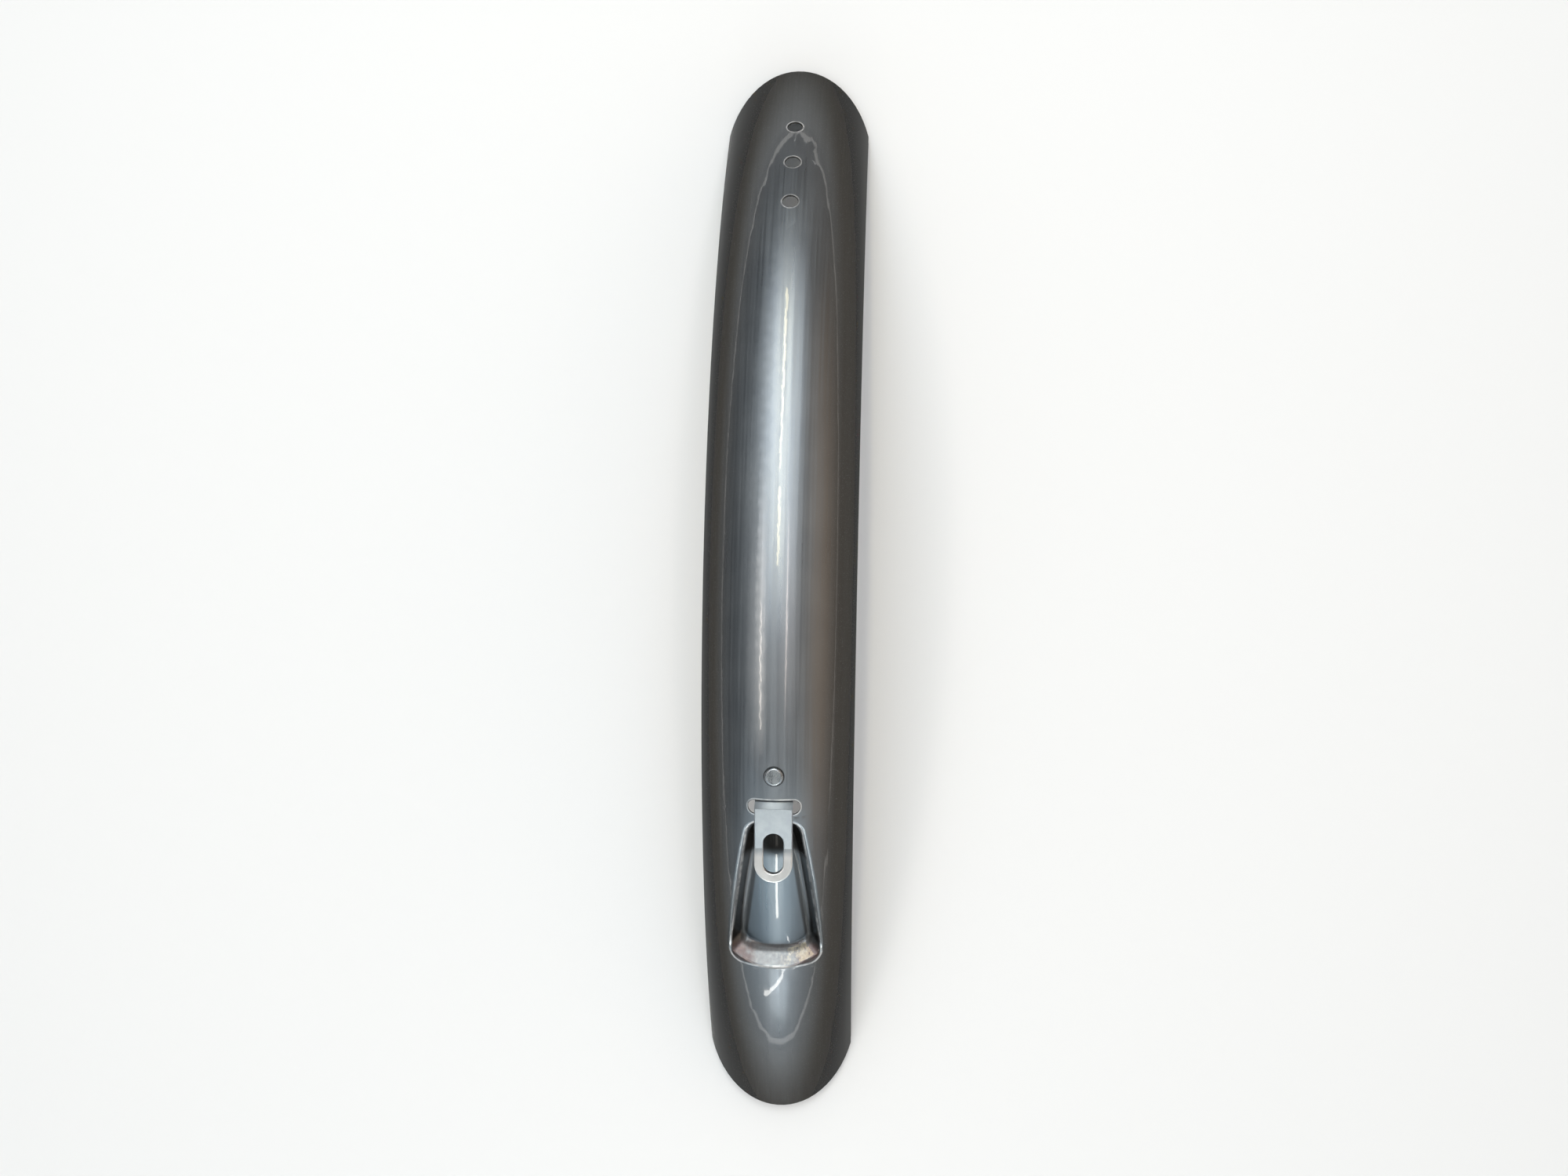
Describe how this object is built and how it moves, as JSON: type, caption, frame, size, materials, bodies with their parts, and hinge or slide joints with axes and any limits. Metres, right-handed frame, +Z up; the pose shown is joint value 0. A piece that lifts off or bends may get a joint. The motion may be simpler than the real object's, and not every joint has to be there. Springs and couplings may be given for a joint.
{
  "type": "bicycle mudguard",
  "caption": "Arched glossy grey steel front mudguard for a bicycle, with rolled side edges, round hemmed ends, a pressed recess and a riveted slotted fork bracket.",
  "frame": {"origin": "centre of the blade's footprint on the floor, under the arch, standing on its four corners", "axes": "+Z up from the floor to the crown, +Y along the arch to the end with the bolt holes, +X sideways"},
  "size_m": [0.0672, 0.4972, 0.1124],
  "materials": {
    "blade_paint": "glossy grey metallic paint",
    "bracket_steel": "satin zinc-plated strip",
    "rivet_steel": "satin steel"
  },
  "bodies": {
    "root": {"blade": "blade_paint", "fork_bracket": "bracket_steel", "bracket_rivet": "rivet_steel"}
  },
  "joints": []
}
